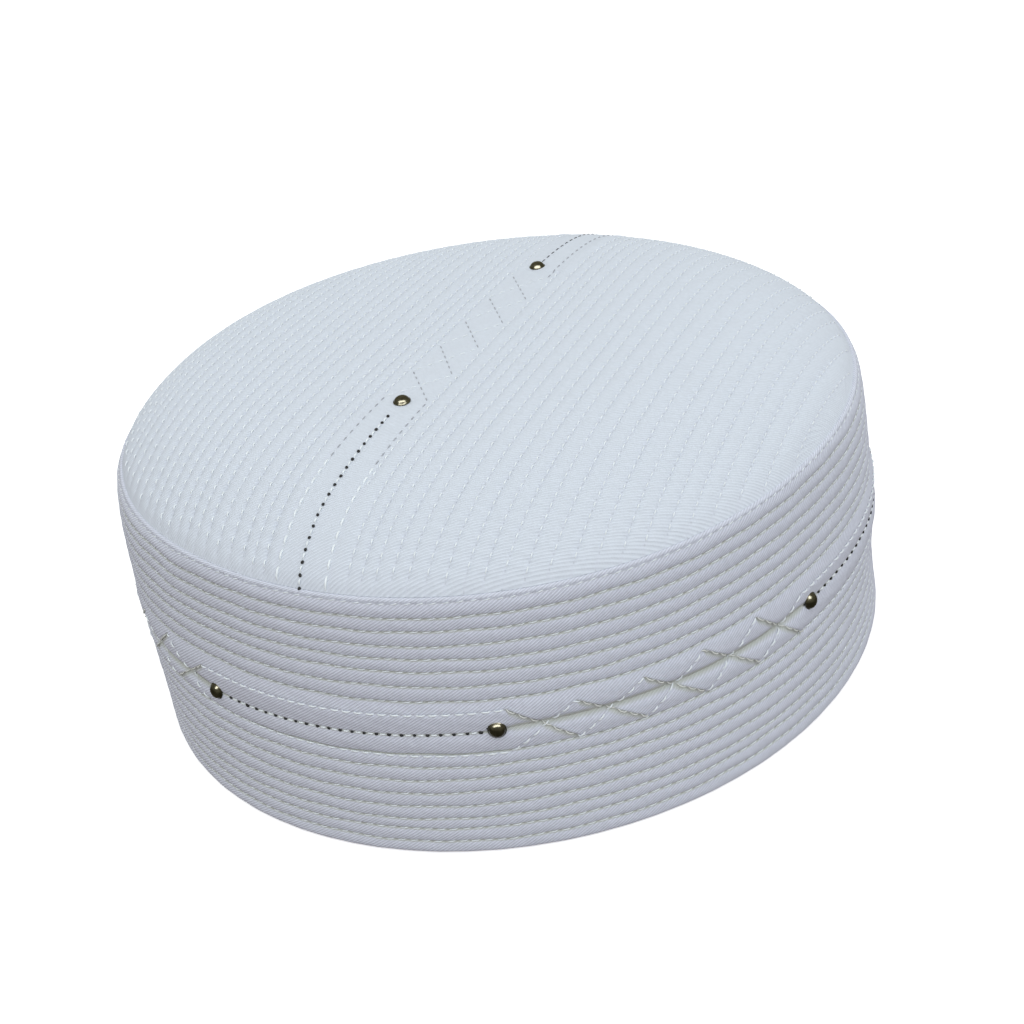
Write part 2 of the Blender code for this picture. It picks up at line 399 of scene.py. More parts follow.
def band_relief(along, height):
    """Depth under the bare wall, with the distance and stitch count that place the painted seam
    shade; the distance is stretched where that shade spreads.
    """
    along, height = np.broadcast_arrays(along, height)
    relief = np.full(along.shape, -MM * SEAMS[0]["depth"])
    nearest = np.full(along.shape, 1.0)
    phase = np.zeros(along.shape)
    edges = [seam_height(index, along) for index in range(len(SEAMS))]
    for index in range(len(SEAMS) - 1):
        width = edges[index + 1] - edges[index]
        share = (height - edges[index]) / width
        low, high = -MM * SEAMS[index]["depth"], -MM * SEAMS[index + 1]["depth"]
        arch = np.minimum(BULGE * width, BULGE_MOST) * 4 * share * (1 - share)
        inside = (share >= 0) & (share <= 1)
        relief = np.where(inside, between(low, high, share) + arch, relief)
    zigzag = in_zigzag(along)
    for index in range(1, len(SEAMS)):
        distance = np.abs(height - edges[index])
        count = stitch_phase(index, along)
        groove = MM * SEAMS[index]["groove"] * bell(distance, GROOVE_WIDTH)
        if index == MIDDLE:
            crease = CREASE_DEPTH * bell(distance, CREASE_WIDTH)
            relief = relief - groove * (1 - zigzag) - crease * zigzag
            count = np.full(along.shape, 0.5)
            # The painted shade spreads wider along the middle crease of a zigzag.
            distance = distance * (1 - SHADE_SPREAD * zigzag)
        else:
            pull = PULL * (RIM_PULL if index == UNDER_RIM else 1.0)
            relief = relief - groove - pull * pull_in(count, distance, PULL_WIDTH)
        # Less painted shade beside the seam under the rim.
        if index == UNDER_RIM:
            distance = distance + RIM_SHADE_SHIFT
        closer = distance < nearest
        nearest = np.where(closer, distance, nearest)
        phase = np.where(closer, count, phase)
    for line in (LINE_A, LINE_B):
        ahead, behind = (line_height(line, along + span) for span in (SLOPE_SPAN, -SLOPE_SPAN))
        slope = (ahead - behind) / (2 * SLOPE_SPAN)
        distance = np.abs(height - line_height(line, along)) / np.sqrt(1 + slope**2)
        falling = np.clip(-slope * side_sign(along) / FALLING_SLOPE, 0, 1)
        press = LINE_PRESS * between(1, FALLING_PRESS, falling)
        relief = relief - press * bell(distance, LINE_WIDTH)
        below = line_height(line, along) - height
        pleat = 0.5 + 0.5 * np.tanh(below / PLEAT_EDGE)
        pleat = pleat * np.exp(-np.maximum(below, 0) / PLEAT_FADE)
        steepness = np.clip(np.abs(slope) / STEEP_SLOPE, 0, 1)
        relief = relief - PLEAT_STEP * pleat * steepness * between(RISING_PLEAT, 1, falling)
        # Painted shade: below a falling line the seam shade spreads wide, like the shadow under a
        # pleat; rising lines get less.
        spread = np.where(below > 0, SHADE_SPREAD * falling, 0.0)
        shaded_distance = distance * (1 - spread) + RISING_SHADE_SHIFT * (1 - falling)
        phase = np.where(shaded_distance < nearest, 0.5, phase)
        nearest = np.minimum(shaded_distance, nearest)
    turn = 2 * math.pi * along / ROUND
    lumps = np.sin(turn * LUMPS_ROUND[0] + height * LUMPS_UP[0])
    lumps = lumps * np.sin(turn * LUMPS_ROUND[1] - height * LUMPS_UP[1])
    low, high = edges[UNDER_RIM - 1], edges[UNDER_RIM]
    rolled = np.clip((height - low) / (high - low), 0, 1)
    relief = relief + LUMP * (lumps - 1) - RIM_ROLL * rolled**2
    return relief, nearest, phase


def band_surface(along, height):
    """The wall moved in along its normal by the relief."""
    relief = band_relief(along, height)[0]
    return wall(along, height) + normals(wall, along, height) * relief[..., None]


middle_rib = np.array([0.5 * MM * (SEAMS[2]["front"] + SEAMS[3]["front"])])
ridge = float(band_relief(np.array([0.0]), middle_rib)[0][0])
print("a ridge of the lower ribs lies", round(ridge / MM, 2), "mm from the bare wall")

# %% [markdown]
# ## Turning grids into meshes
# A surface is worked out as a whole grid of points. Faces join each point to its neighbours,
# and the grid may close on itself along its rows, its columns or both. Two UV maps go with it:
# one measures the cloth in centimetres, for the weave, and one measures the distance to the
# nearest seam in millimetres and counts the stitches along it; this places the painted shade
# at seams and needle holes.

# %% Grid to mesh
def grid_faces(rows, columns, wrap_rows, wrap_columns):
    """Row and column of the four corners of every square, not yet wrapped round."""
    r, c = np.meshgrid(
        np.arange(rows if wrap_rows else rows - 1),
        np.arange(columns if wrap_columns else columns - 1),
        indexing="ij",
    )
    corner_rows = np.stack([r, r, r + 1, r + 1], axis=-1).reshape(-1, 4)
    corner_columns = np.stack([c, c + 1, c + 1, c], axis=-1).reshape(-1, 4)
    return corner_rows, corner_columns


def mesh_from_grid(points, cloth, seam, wrap_rows=False, wrap_columns=False):
    """Points are rows by columns; the UV grids have one more row or column where they wrap."""
    rows, columns = points.shape[:2]
    corner_rows, corner_columns = grid_faces(rows, columns, wrap_rows, wrap_columns)
    faces = (corner_rows % rows) * columns + corner_columns % columns
    mesh = bpy.data.meshes.new("cloth")
    mesh.vertices.add(rows * columns)
    mesh.vertices.foreach_set("co", points.reshape(-1).astype(np.float32))
    mesh.loops.add(faces.size)
    mesh.loops.foreach_set("vertex_index", faces.reshape(-1).astype(np.int32))
    mesh.polygons.add(len(faces))
    mesh.polygons.foreach_set("loop_start", np.arange(0, faces.size, 4, dtype=np.int32))
    mesh.polygons.foreach_set("use_smooth", np.ones(len(faces), dtype=bool))
    for label, grid in (("cloth", cloth), ("seam", seam)):
        layer = mesh.uv_layers.new(name=label)
        values = grid[corner_rows, corner_columns]
        layer.data.foreach_set("uv", values.reshape(-1).astype(np.float32))
    mesh.update(calc_edges=True)
    mesh.validate()
    return mesh


def mesh_from_faces(points, faces):
    """A smooth mesh of these points, rows of three, and these lists of corners."""
    mesh = bpy.data.meshes.new("mesh")
    mesh.from_pydata(points.reshape(-1, 3).tolist(), [], faces)
    mesh.shade_smooth()
    return mesh


def put_in_scene(name, data):
    """A new object in the scene, whose data has its name too."""
    data.name = name
    thing = bpy.data.objects.new(name, data)
    bpy.context.scene.collection.objects.link(thing)
    return thing


def add_piece(name, mesh, material, nodes=()):
    """Put a mesh into the scene as a piece of the cap."""
    mesh.materials.clear()
    mesh.materials.append(material)
    piece = put_in_scene(name, mesh)
    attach(piece, "root")
    if nodes:
        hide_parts(*nodes)
    print(name, "vertices", len(mesh.vertices), "faces", len(mesh.polygons))
    return piece


# %% [markdown]
# ## Materials
# The twill's diagonal ridges, its wales, rise at 34 degrees and stand 0.58 mm apart.
# The shader draws them from the cloth's own measure, darkens the valleys with painted shade and
# raises the ridges with a little bump. Beside a seam the cloth is painted in shade, darker still at
# each needle hole.

# %% Node helpers
WALES_U, WALES_V = 9.6, -14.4
YARNS_U = 38.0
WALE_HEIGHT = 0.00008
YARN_SHARE, SLUB_SHARE = 0.10, 0.5
# Painted shade: the last number below sets how strongly the groove colour is painted beside each
# seam.
SLUB_SCALE, SLUB_TINT, SEAM_SHADE_STRENGTH = 900.0, 1.1, 0.7
# Painted shade: the colour painted into each needle hole, and the ramps that place the painted shade
# across a seam and at the holes.
HOLE_SHADE_COLOUR = (0.22, 0.22, 0.23)
SEAM_SHADE, HOLE_SHADE_ACROSS, HOLE_SHADE_ALONG = (0.55, 0.08), (0.20, 0.08), (0.40, 0.46)


class Nodes:
    """Short calls for building the node tree of a material or a world."""

    def __init__(self, owner):
        owner.use_nodes = True
        self.owner = owner
        self.tree = owner.node_tree
        self.shader = self.tree.nodes.get("Principled BSDF")

    def add(self, kind, **settings):
        node = self.tree.nodes.new(kind)
        for key, value in settings.items():
            setattr(node, key, value)
        return node

    def link(self, output, target):
        self.tree.links.new(output, target)

    def math(self, operation, a, b=None, c=None, clamp=False):
        node = self.add("ShaderNodeMath", operation=operation, use_clamp=clamp)
        for socket, value in zip(node.inputs, (a, b, c)):
            self.feed(socket, value)
        return node.outputs[0]

    def parts(self, vector):
        """The X, Y and Z of a vector."""
        node = self.add("ShaderNodeSeparateXYZ")
        self.link(vector, node.inputs["Vector"])
        return node.outputs

    def noise(self, scale, detail=2.0):
        """Noise in the object's own coordinates."""
        node = self.add("ShaderNodeTexNoise")
        node.inputs["Scale"].default_value = scale
        node.inputs["Detail"].default_value = detail
        self.link(self.add("ShaderNodeTexCoord").outputs["Object"], node.inputs["Vector"])
        return node.outputs["Fac"]

    def feed(self, socket, value):
        if value is None:
            return
        if hasattr(value, "is_linked"):
            self.link(value, socket)
        else:
            socket.default_value = value

    def dot(self, vector, direction):
        node = self.add("ShaderNodeVectorMath", operation="DOT_PRODUCT")
        self.link(vector, node.inputs[0])
        node.inputs[1].default_value = direction
        return node.outputs["Value"]

    def ramp(self, value, low, high, out_low=0.0, out_high=1.0, easing="SMOOTHSTEP"):
        node = self.add("ShaderNodeMapRange", interpolation_type=easing)
        self.feed(node.inputs["Value"], value)
        labels = ("From Min", "From Max", "To Min", "To Max")
        for label, number in zip(labels, (low, high, out_low, out_high)):
            node.inputs[label].default_value = number
        return node.outputs["Result"]

    def mix(self, factor, a, b):
        """A Mix node has sockets for several kinds of data, and these are its colour ones."""
        node = self.add("ShaderNodeMix", data_type="RGBA")
        self.feed(node.inputs["Factor"], factor)
        colours = [socket for socket in node.inputs if socket.type == "RGBA"]
        for socket, value in zip(colours, (a, b)):
            self.feed(socket, (*value, 1.0) if isinstance(value, tuple) else value)
        return next(socket for socket in node.outputs if socket.type == "RGBA")

    def finish(self, **sockets):
        """Feed the shader's sockets, with each space in a name written as an underscore."""
        for label, value in sockets.items():
            self.feed(self.shader.inputs[label.replace("_", " ")], value)
        return self.owner


def twill(name, ridge, valley, groove, holes):
    """Cloth: diagonal wales with painted shade in their valleys, warp yarns across them, slubs, and
    painted shade at seams and needle holes.
    """
    n = Nodes(bpy.data.materials.new(name))
    cloth = n.add("ShaderNodeUVMap", uv_map="cloth").outputs["UV"]
    seam = n.add("ShaderNodeUVMap", uv_map="seam").outputs["UV"]
    turn = 2 * math.pi
    wale = n.math("SINE", n.dot(cloth, (turn * WALES_U, turn * WALES_V, 0.0)))
    yarn = n.math("SINE", n.dot(cloth, (turn * YARNS_U, 0.0, 0.0)))
    wale = n.ramp(wale, -0.9, 0.9)
    slub = n.noise(SLUB_SCALE)
    across, count, _ = n.parts(seam)
    near = n.ramp(across, *SEAM_SHADE)
    middle = n.math("ABSOLUTE", n.math("SUBTRACT", n.math("FRACT", count), 0.5))
    hole_shade = n.math("MULTIPLY", n.ramp(across, *HOLE_SHADE_ACROSS), n.ramp(middle, *HOLE_SHADE_ALONG))
    uneven = n.math("MULTIPLY", n.math("SUBTRACT", slub, 0.5), SLUB_TINT)
    # Painted shade: the valleys between the wales are darker than the ridges, adding to the bump's
    # own shading.
    colour = n.mix(n.math("ADD", wale, uneven, clamp=True), valley, ridge)
    # Painted shade: beside each seam the groove colour is mixed in, olive on the band.
    colour = n.mix(n.math("MULTIPLY", near, SEAM_SHADE_STRENGTH), colour, groove)
    # Painted shade: a dark patch at each needle hole, as dark as holes says.
    colour = n.mix(n.math("MULTIPLY", hole_shade, holes), colour, HOLE_SHADE_COLOUR)
    height = n.math("ADD", wale, n.math("MULTIPLY", yarn, YARN_SHARE))
    height = n.math("ADD", height, n.math("MULTIPLY", slub, SLUB_SHARE))
    bump = n.add("ShaderNodeBump")
    bump.inputs["Strength"].default_value = 1.0
    bump.inputs["Distance"].default_value = WALE_HEIGHT
    n.link(height, bump.inputs["Height"])
    normal = bump.outputs["Normal"]
    return n.finish(Base_Color=colour, Normal=normal, Roughness=0.85, Specular_IOR_Level=0.2)


def thread(name, colour, roughness, sheen=0.0):
    """Sewing thread: its colour darkens by up to a fifth in specks as small as its fibres."""
    n = Nodes(bpy.data.materials.new(name))
    darker = tuple(0.8 * value for value in colour)
    colour = n.mix(n.noise(3000.0), darker, colour)
    return n.finish(Base_Color=colour, Roughness=roughness, Sheen_Weight=sheen)


def stud_metal():
    """Dark antique metal, worn a little brighter in patches."""
    n = Nodes(bpy.data.materials.new("gunmetal"))
    patches = n.noise(700.0, 3.0)
    colour = n.mix(n.ramp(patches, 0.35, 0.7), (0.105, 0.100, 0.076), (0.15, 0.142, 0.108))
    rough = n.ramp(patches, 0.3, 0.7, 0.20, 0.28)
    return n.finish(Base_Color=colour, Roughness=rough, Metallic=0.97)


# Two copies of the same white cloth. The band's is a little bluer and much darker in its valleys and
# at its seams: painted light and shade for the upright band against the top. In both, groove is the
# colour of the painted seam shade and holes how dark the painted needle-hole shade is.
BAND_TWILL = twill(
    "band_twill",
    ridge=(0.730, 0.754, 0.850),
    valley=(0.569, 0.588, 0.664),
    groove=(0.480, 0.500, 0.415),
    holes=0.18,
)
CROWN_TWILL = twill(
    "crown_twill",
    ridge=(0.702, 0.744, 0.812),
    valley=(0.634, 0.672, 0.735),
    groove=(0.660, 0.693, 0.765),
    holes=0.20,
)
WHITE_THREAD = thread("white_thread", (0.92, 0.97, 1.0), 0.5, 0.8)
# Painted shade: a darker copy of the white thread, for motif stitches that lie in a crease.
SHADED_THREAD = thread("shaded_thread", (0.82, 0.83, 0.79), 0.6)
# Painted shade: the white thread painted grey, for strip stitches that stand in shade.
SHADE_GREY_THREAD = thread("shade_grey_thread", (0.42, 0.43, 0.47), 0.6)
BLACK_THREAD = thread("black_thread", (0.010, 0.010, 0.012), 0.9)
METAL = stud_metal()
print("materials", [m.name for m in bpy.data.materials])

# %% [markdown]
# ## The band's cloth
# The band is sewn in three courses: the lower ribs, the motif and the upper ribs. Each is a closed
# ring, with its fine outer face, a plain inner face and the edges between. The points crowd
# towards the seams, where the cloth turns most.

# %% Rows and columns of the band
RIB_COLUMNS = ROUND_STITCHES * 5
MOTIF_COLUMNS = ROUND_STITCHES * 8
RIB_SHARES = np.array([0.0, 0.045, 0.11, 0.21, 0.35, 0.5, 0.65, 0.79, 0.89, 0.955])
LOWER_MOTIF_SHARES = np.linspace(0, 1, 24, endpoint=False)
UPPER_MOTIF_SHARES = np.linspace(0, 1, 46, endpoint=False)
INNER_ROWS, FAR_FROM_SEAM = 3, 5.0
rib_columns = np.arange(RIB_COLUMNS + 1) * ROUND / RIB_COLUMNS
motif_columns = np.arange(MOTIF_COLUMNS + 1) * ROUND / MOTIF_COLUMNS


def rib_rows(first, last, shares, columns):
    """Heights of the rows from seam to seam, each row following the seams' wander."""
    rows = []
    for index in range(first, last):
        low, high = seam_height(index, columns), seam_height(index + 1, columns)
        rows += [between(low, high, share) for share in shares]
    rows.append(seam_height(last, columns))
    return np.array(rows)


def inner_point(along, height):
    """The plain inner face, one wall's thickness inside the ridges."""
    return wall(along, height) - normals(wall, along, height) * BAND_WALL


def cloth_uv(along, height):
    """The cloth's own measure in centimetres."""
    return stacked(along * 100, height * 100)


def no_seam(shape):
    """The seam measure of plain cloth: too far from any seam to be shaded."""
    return np.full((*shape, 2), FAR_FROM_SEAM)


def level_out(along, height):
    """Level directions straight out of the wall."""
    out = normals(wall, along, height)
    out[..., 2] = 0
    return unit(out)


def outer_rows(heights, columns):
    """Points, cloth measure and seam measure of the outer face at these rows of heights."""
    along = np.broadcast_to(columns, heights.shape)
    relief, distance, phase = band_relief(along, heights)
    points = wall(along, heights) + normals(wall, along, heights) * relief[..., None]
    return points, cloth_uv(along, heights), stacked(distance / MM, phase)


def inner_rows(top, bottom, columns):
    """Points and measures of the inner face from the top row to the bottom row."""
    heights = between(top, bottom, np.linspace(0, 1, INNER_ROWS)[:, None])
    along = np.broadcast_to(columns, heights.shape)
    return inner_point(along, heights), cloth_uv(along, heights), no_seam(heights.shape)


def close_course(name, parts, material, nodes=()):
    """Stack the row blocks into one ring that closes on itself both ways."""
    points = np.concatenate([part[0] for part in parts])[:, :-1]
    cloth = np.concatenate([part[1] for part in parts] + [parts[0][1][:1]])
    seam = np.concatenate([part[2] for part in parts] + [parts[0][2][:1]])
    mesh = mesh_from_grid(points, cloth, seam, wrap_rows=True, wrap_columns=True)
    piece = add_piece(name, mesh, material, nodes=nodes)


# %% [markdown]
# The hem is rolled under: below the lowest seam the cloth comes down, turns in with a small
# radius and lies flat on the ground.

# %% Lower course with the hem
HEM_ROLL = 0.0011
HEM_TURNS = np.radians([90, 68, 45, 22, 0])
HEM_CLEAR = 1.2 * HEM_ROLL
HEM_INSIDE, FOLD_INSIDE = 0.0004, 0.0015


def hem_rows():
    """A quarter circle from the flat underside up to the outer face, as far out as the rib above."""
    along = np.broadcast_to(rib_columns, (len(HEM_TURNS), len(rib_columns)))
    relief = band_relief(along, np.full(along.shape, HEM_ROLL))[0]
    inset = HEM_ROLL * (1 - np.cos(HEM_TURNS))[:, None] - relief
    height = HEM_ROLL * (1 - np.sin(HEM_TURNS))[:, None] + 0 * along
    points = wall(along, height) - level_out(along, height) * inset[..., None]
    return points, cloth_uv(along, height), no_seam(height.shape)


lower_rows = rib_rows(0, UNDER_MOTIF, RIB_SHARES, rib_columns)
lower_rows = lower_rows[lower_rows.min(axis=1) > HEM_CLEAR]
lower_outer = outer_rows(lower_rows, rib_columns)
lower_inner = inner_rows(lower_rows[-1], np.full_like(rib_columns, HEM_INSIDE), rib_columns)
close_course("band_lower_ribs", [hem_rows(), lower_outer, lower_inner], BAND_TWILL, ["side_band"])

# %% Motif course, in a lower and an upper roll
for name, first, shares in (
    ("band_motif_lower", UNDER_MOTIF, LOWER_MOTIF_SHARES),
    ("band_motif_upper", MIDDLE, UPPER_MOTIF_SHARES),
):
    rows = rib_rows(first, first + 1, shares, motif_columns)
    inner = inner_rows(rows[-1], rows[0], motif_columns)
    close_course(name, [outer_rows(rows, motif_columns), inner], BAND_TWILL)

# %% [markdown]
# The upper edge is a narrow fold that stands a little proud of the top, with a row of stitching
# just under it. In section it is part of a circle, which starts at the last seam, rolls over the
# edge and goes down behind the top panel.

# %% Upper course with the fold
FOLD_RADIUS = 0.00070
FOLD_SINK = 0.00097
FOLD_INSET = RIM_ROLL + 0.00002
FOLD_TURNS = np.radians([0, 12, 24, 36, 48, 60, 72, 84, 97, 110, 125, 140])


def fold_rows():
    """A circle in the section plane that leaves the wall upright and rolls over inwards."""
    along = np.broadcast_to(rib_columns, (len(FOLD_TURNS), len(rib_columns)))
    inset = FOLD_INSET + FOLD_RADIUS * (1 - np.cos(FOLD_TURNS))
    out = level_out(along, np.full(along.shape, RIM_Z))
    points = wall(along, RIM_Z) - out * inset[:, None, None]
    points[..., 2] += (FOLD_RADIUS * np.sin(FOLD_TURNS) - FOLD_SINK)[:, None]
    height = RIM_Z + FOLD_RADIUS * FOLD_TURNS[:, None] + 0 * along
    return points, cloth_uv(along, height), no_seam(height.shape)


upper_rows = rib_rows(OVER_MOTIF, UNDER_RIM, RIB_SHARES, rib_columns)
fold_inside = np.full_like(rib_columns, RIM_Z - FOLD_INSIDE)
upper_outer = outer_rows(upper_rows, rib_columns)
upper_inner = inner_rows(fold_inside, upper_rows[0], rib_columns)
close_course("band_upper_ribs", [upper_outer, fold_rows(), upper_inner], BAND_TWILL)

# %% [markdown]
# ## The top panel
# The top is quilted in straight channels that run front to back, on both sides of a plain strip.
# The channels were marked by eye, so groups of them are a little wider or narrower. At each
# needle hole the cloth is pulled in, which makes the channels look puckered on the left.
# The strip carries the same motif as the band: dots from the front edge to the first stud,
# a zigzag to the second stud, and a plain dark line on to the back.

# %% Seams of the top
CHANNELS_LEFT = table(
    "rows pitch",
    (3, 0.00305),
    (3, 0.00377),
    (3, 0.00320),
    (4, 0.00342),
    (4, 0.00380),
    (2, 0.00330),
    (9, 0.00370),
)
CHANNELS_RIGHT = table(
    "rows pitch",
    (1, 0.00390),
    (2, 0.00310),
    (2, 0.00340),
    (3, 0.00385),
    (2, 0.00360),
    (5, 0.00400),
    (9, 0.00335),
)
STRIP_SEAMS = table(
    "x front back",
    (-0.0052, -0.0340, 0.0360),
    (0.0082, -0.0660, 0.0360),
)
STRIP_LEFT, STRIP_RIGHT = -0.0046, 0.0074
CROWN_EDGE, SEAM_MARGIN = 0.00118, 0.0020
HALF_X, HALF_Y = RIM_A - CROWN_EDGE, RIM_B - CROWN_EDGE


def channel_seams(first, groups, sign):
    """Seams on one side of the strip, each group of rows with a pitch of its own."""
    places = abs(first) + np.cumsum(np.repeat(column(groups, "pitch"), column(groups, "rows")))
    return sign * places[places < HALF_X - SEAM_MARGIN]


left_seams = channel_seams(STRIP_SEAMS[0]["x"], CHANNELS_LEFT, -1)[::-1]
right_seams = channel_seams(STRIP_SEAMS[1]["x"], CHANNELS_RIGHT, 1)
crown_seams = np.concatenate([left_seams, column(STRIP_SEAMS, "x"), right_seams])
SEAM_OFFSETS = rng.uniform(0, 1, len(crown_seams))
CHANNEL_MEAN = 0.0034
CROWN_BULGE_LEFT, CROWN_BULGE_RIGHT = 0.140, 0.045
STRIP_BULGE = 0.00012
CROWN_GROOVE, CROWN_GROOVE_WIDTH = 0.00002, 0.00022
CROWN_PULL, CROWN_PULL_WIDTH, CROWN_PULL_SPREAD = 0.00034, 0.00085, 0.45
CROWN_LINE_PRESS, CROWN_LINE_WIDTH = 0.00015, 0.00045
UNEVEN_PHASE, UNEVEN_SEAM = 12.9, 78.2
SEWN_EASE = 0.001
EDGE_RISE = DOME_RISE * (1 - (1 - CROWN_EDGE / RIM_A) ** DOME_POWER)
EDGE_SINK, TUCK_WIDTH = 0.00030, 0.00120
RELIEF_FADE = 0.0018
FRONT_SLIDE = table(
    "y slide",
    (-0.0890, 0.0011),
    (-0.0825, 0.0005),
    (-0.0745, 0.0),
)
TOP_CORNERS = table(
    "y left right",
    (0.0326, -0.0042, 0.0066),
    (0.0187, -0.0040, 0.0066),
    (0.0053, -0.0040, 0.0066),
    (-0.0080, -0.0040, 0.0066),
    (-0.0216, -0.0040, 0.0066),
    (-0.0340, -0.0042, 0.0066),
)


def top_lines():
    """The two stitched lines of the strip, from the back edge to the front edge."""
    first, second = [(STRIP_LEFT, HALF_Y)], [(STRIP_RIGHT, HALF_Y)]
    for number, corner in enumerate(TOP_CORNERS):
        pair = (corner["left"], corner["right"])
        if number % 2:
            pair = pair[::-1]
        first.append((pair[0], corner["y"]))
        second.append((pair[1], corner["y"]))
    first.append((STRIP_RIGHT, -HALF_Y))
    second.append((STRIP_LEFT, -HALF_Y))
    return np.array(first), np.array(second)


TOP_A, TOP_B = top_lines()


def sewn(index, y):
    """One where a seam is sewn: the two beside the strip stop short of the front and the back."""
    share = np.ones(np.broadcast(index, y).shape)
    for number, row in enumerate(STRIP_SEAMS, start=len(left_seams)):
        kept = within(y, row["front"], row["back"], SEWN_EASE)
        share = np.where(index == number, kept, share)
    return share


def crown_relief(x, y):
    """Low arches from seam to seam, grooves, pulled needle holes and the pressed motif lines."""
    x, y = np.broadcast_arrays(x, y)
    place = np.clip(np.searchsorted(crown_seams, x) - 1, 0, len(crown_seams) - 2)
    low, high = crown_seams[place], crown_seams[place + 1]
    share = np.clip((x - low) / (high - low), 0, 1)
    side = np.clip((x + HALF_X) / (2 * HALF_X), 0, 1)
    bulge = between(CROWN_BULGE_LEFT, CROWN_BULGE_RIGHT, side) * CHANNEL_MEAN
    arch = np.where(place == len(left_seams), STRIP_BULGE, bulge)
    relief = arch * 4 * share * (1 - share)
    relief = relief - bulge * (sewn(place, y) * (1 - share) + sewn(place + 1, y) * share)
    index = np.where(share < 0.5, place, place + 1)
    kept = sewn(index, y)
    distance = np.abs(x - crown_seams[index])
    phase = y / STITCH + SEAM_OFFSETS[index]
    force = np.sin(UNEVEN_PHASE * np.floor(phase + 0.5) + UNEVEN_SEAM * index)
    force = 1 + CROWN_PULL_SPREAD * force
    relief = relief - kept * CROWN_GROOVE * bell(distance, CROWN_GROOVE_WIDTH)
    relief = relief - kept * CROWN_PULL * force * pull_in(phase, distance, CROWN_PULL_WIDTH)
    for line in (TOP_A, TOP_B):
        order = np.argsort(line[:, 1])
        middle = np.interp(y, line[order, 1], line[order, 0])
        ahead = np.interp(y + SLOPE_SPAN, line[order, 1], line[order, 0])
        slope = (ahead - middle) / SLOPE_SPAN
        away = np.abs(x - middle) / np.sqrt(1 + slope**2)
        relief = relief - CROWN_LINE_PRESS * bell(away, CROWN_LINE_WIDTH)
    return relief, distance, np.where(kept > 0, phase, 0.5)


def slid(x, y):
    """Near the front edge the cloth slid a little to the right, at the same share of the radius."""
    moved = x + np.interp(y, column(FRONT_SLIDE, "y"), column(FRONT_SLIDE, "slide"))
    before = np.hypot(x / HALF_X, y / HALF_Y)
    share = before / np.maximum(np.hypot(moved / HALF_X, y / HALF_Y), 1e-6)
    return moved * share, y * share


def edge_fade(x, y, width):
    """One at the panel's edge, fading away inwards over this width."""
    inside = 1 - np.minimum(np.hypot(x / HALF_X, y / HALF_Y), 1.0)
    return np.exp(-inside * RIM_A / width)


def tucked_dome(x, y):
    """The dome, lowered near its edge to meet the fold."""
    x, y = slid(x, y)
    points = dome(x, y)
    points[..., 2] -= (EDGE_RISE * lean(x, y) + EDGE_SINK) * edge_fade(x, y, TUCK_WIDTH)
    return points


def crown_surface(x, y):
    """The tucked dome moved along the dome's normal by the relief, which fades at the edge."""
    across, ahead = slid(x, y)
    relief = crown_relief(x, y)[0] * (1 - edge_fade(across, ahead, RELIEF_FADE))
    return tucked_dome(x, y) + normals(dome, across, ahead) * relief[..., None]


# %% Columns and rows of the top
CHANNEL_SHARES = np.array([0.0, 0.09, 0.24, 0.42, 0.60, 0.77, 0.91])
STRIP_COLUMNS = 34
COLUMN_ENDS, COLUMN_GAP = np.array([0.9990, 0.9965, 0.992, 0.985]), 0.003
TOP_ROWS, UNDER_ROWS = 300, 10
ROW_CROWDING, EDGE_ROW = math.pi / 2 * 0.55, 0.9994


def crown_columns():
    """Columns at every seam and between them, closer together near the seams."""
    columns = []
    for low, high in zip(crown_seams[:-1], crown_seams[1:]):
        if low == STRIP_SEAMS[0]["x"]:
            columns += list(low + (high - low) * np.arange(STRIP_COLUMNS) / STRIP_COLUMNS)
        else:
            columns += list(between(low, high, CHANNEL_SHARES))
    columns = np.array(columns + [crown_seams[-1]])
    inner = columns[np.abs(columns) < HALF_X * (COLUMN_ENDS[-1] - COLUMN_GAP)]
    outer = HALF_X * COLUMN_ENDS
    return np.concatenate([[-HALF_X], -outer, inner, outer[::-1], [HALF_X]])


columns = crown_columns()
reach = HALF_Y * np.sqrt(np.maximum(1 - (columns / HALF_X) ** 2, 0))
top_share = np.sin(np.linspace(-1, 1, TOP_ROWS) * ROW_CROWDING) / math.sin(ROW_CROWDING)
top_share = np.concatenate([[-1.0, -EDGE_ROW], top_share[1:-1], [EDGE_ROW, 1.0]])
under_share = np.linspace(1, -1, UNDER_ROWS)
x_top, y_top = np.broadcast_arrays(columns, top_share[:, None] * reach)
x_under, y_under = np.broadcast_arrays(columns, under_share[:, None] * reach)
_, distance, phase = crown_relief(x_top, y_top)
under_points = dome(x_under, y_under) - normals(dome, x_under, y_under) * CROWN_WALL
crown_points = np.concatenate([crown_surface(x_top, y_top), under_points])
crown_cloth = np.concatenate([cloth_uv(x_top, y_top), cloth_uv(x_under, y_under)])
crown_seam = np.concatenate([stacked(distance / MM, phase), no_seam(x_under.shape)])
crown_cloth = np.concatenate([crown_cloth, crown_cloth[:1]])
crown_seam = np.concatenate([crown_seam, crown_seam[:1]])
crown_mesh = mesh_from_grid(crown_points, crown_cloth, crown_seam, wrap_rows=True)

# %% [markdown]
# At its left and right ends the grid's columns shrink to a point, so the points there are merged
# and the flat faces that this leaves are dropped.

